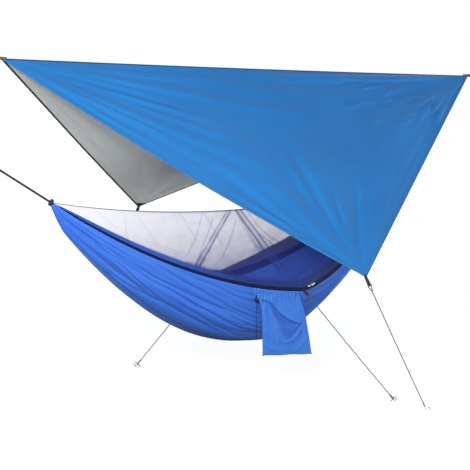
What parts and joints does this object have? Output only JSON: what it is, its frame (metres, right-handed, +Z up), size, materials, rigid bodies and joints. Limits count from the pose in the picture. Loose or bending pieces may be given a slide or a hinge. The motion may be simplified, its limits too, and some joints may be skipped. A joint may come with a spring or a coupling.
{
  "type": "camping hammock with insect net and rain fly",
  "caption": "Camping hammock with a zipped-in insect net, hung under a square rain fly pitched corner up on guy lines, with a drawcord pouch.",
  "frame": {"origin": "where the left tree line bears inside the top bow of the left carabiner", "axes": "+X from the hammock's left end to its right end, -Y towards the side with the zip and the pouch, +Z up; the ground lies at Z -1.350"},
  "size_m": [3.334, 2.6495, 1.9301],
  "materials": {
    "band_cloth": "dark nylon strip",
    "black_rope": "braided polyester rope",
    "black_webbing": "woven webbing",
    "body_cloth": "parachute nylon, soft sheen",
    "fly_cloth": "coated ripstop polyester, soft sheen",
    "fly_trim": "woven edge tape",
    "grey_cord": "braided guy line",
    "lock_plastic": "moulded acetal",
    "net": "fine see-through insect mesh",
    "olive_webbing": "woven webbing",
    "skirt_cloth": "nylon strip",
    "slider_metal": "nickel-plated zinc",
    "steel": "plain bright steel",
    "zip_tape": "woven tape with a nylon zip coil"
  },
  "bodies": {
    "tent": {"far_band": "band_cloth", "far_guy_foot_eye": "grey_cord", "far_guy_line": "grey_cord", "far_guy_top_eye": "grey_cord", "far_peg": "steel", "far_pullout_loop": "black_webbing", "fly_back_left_binding": "fly_trim", "fly_back_loop": "black_webbing", "fly_back_panel": "fly_cloth", "fly_back_patch": "fly_trim", "fly_back_right_binding": "fly_trim", "fly_front_left_binding": "fly_trim", "fly_front_panel": "fly_cloth", "fly_front_patch": "fly_trim", "fly_front_right_binding": "fly_trim", "fly_front_strap": "black_webbing", "fly_left_loop": "olive_webbing", "fly_ridge_cord": "black_rope", "fly_right_loop": "olive_webbing", "front_guy_foot_eye": "grey_cord", "front_guy_line": "grey_cord", "front_guy_top_eye": "grey_cord", "front_peg": "steel", "hammock_body": "body_cloth", "left_carabiner": "steel", "left_gate_pin": "steel", "left_gather": "body_cloth", "left_noose": "black_rope", "left_rope": "black_rope", "left_rope_eye": "black_rope", "near_guy_foot_eye": "grey_cord", "near_guy_line": "grey_cord", "near_guy_top_eye": "grey_cord", "near_peg": "steel", "near_pullout_loop": "black_webbing", "near_skirt": "skirt_cloth", "near_zip_tape": "zip_tape", "net_far_panel": "net", "net_near_panel": "net", "net_ridge_cord": "black_rope", "pouch_header": "body_cloth", "right_carabiner": "steel", "right_gate_pin": "steel", "right_gather": "body_cloth", "right_loop": "black_rope", "right_noose": "black_rope"},
    "left_gate": {"left_carabiner_gate": "steel"},
    "right_gate": {"right_carabiner_gate": "steel"},
    "left_slider": {"zip_slider_left": "slider_metal"},
    "right_slider": {"zip_slider_right": "slider_metal"},
    "left_pull": {"zip_pull_left": "slider_metal"},
    "right_pull": {"zip_pull_right": "slider_metal"},
    "pouch": {"pouch_bag": "body_cloth", "drawcord_inner_tail": "black_rope", "drawcord_outer_tail": "black_rope", "drawcord_knot": "black_rope"},
    "cord_lock": {"cord_lock_body": "lock_plastic"},
    "lock_button": {"cord_lock_button": "lock_plastic"}
  },
  "joints": [
    {"name": "left_gate_hinge", "type": "hinge", "parent": "tent", "child": "left_gate", "pos_m": [0.04767, 0, -0.01591], "axis": [0, 1, 0], "range_deg": [-25, 0], "stiffness_Nm_per_rad": 0.05, "springref_deg": 20.05},
    {"name": "right_gate_hinge", "type": "hinge", "parent": "tent", "child": "right_gate", "pos_m": [2.86597, 0, -0.19875], "axis": [0, -1, 0], "range_deg": [-25, 0], "stiffness_Nm_per_rad": 0.05, "springref_deg": 20.05},
    {"name": "left_slider_slide", "type": "slide", "parent": "tent", "child": "left_slider", "axis": [0.9009, 0.4162, 0.123], "range_m": [-0.045, 0]},
    {"name": "right_slider_slide", "type": "slide", "parent": "tent", "child": "right_slider", "axis": [0.9009, 0.4162, 0.123], "range_m": [0, 0.045]},
    {"name": "left_pull_hinge", "type": "hinge", "parent": "left_slider", "child": "left_pull", "pos_m": [1.86335, -0.40687, -0.79958], "axis": [-0.3672, 0.5796, 0.7275], "range_deg": [0, 150]},
    {"name": "right_pull_hinge", "type": "hinge", "parent": "right_slider", "child": "right_pull", "pos_m": [1.88497, -0.39688, -0.79663], "axis": [0.3672, -0.5796, -0.7275], "range_deg": [0, 150]},
    {"name": "pouch_swing", "type": "hinge", "parent": "tent", "child": "pouch", "pos_m": [1.64629, -0.39019, -0.82826], "axis": [-0.9426, 0.334, 0], "range_deg": [-10, 75]},
    {"name": "cord_lock_slide", "type": "slide", "parent": "pouch", "child": "cord_lock", "axis": [0, 0, -1], "range_m": [0, 0.18]},
    {"name": "lock_button_press", "type": "slide", "parent": "cord_lock", "child": "lock_button", "axis": [0.9426, -0.334, 0], "range_m": [0, 0.003], "stiffness_N_per_m": 600, "springref_m": -0.004}
  ]
}
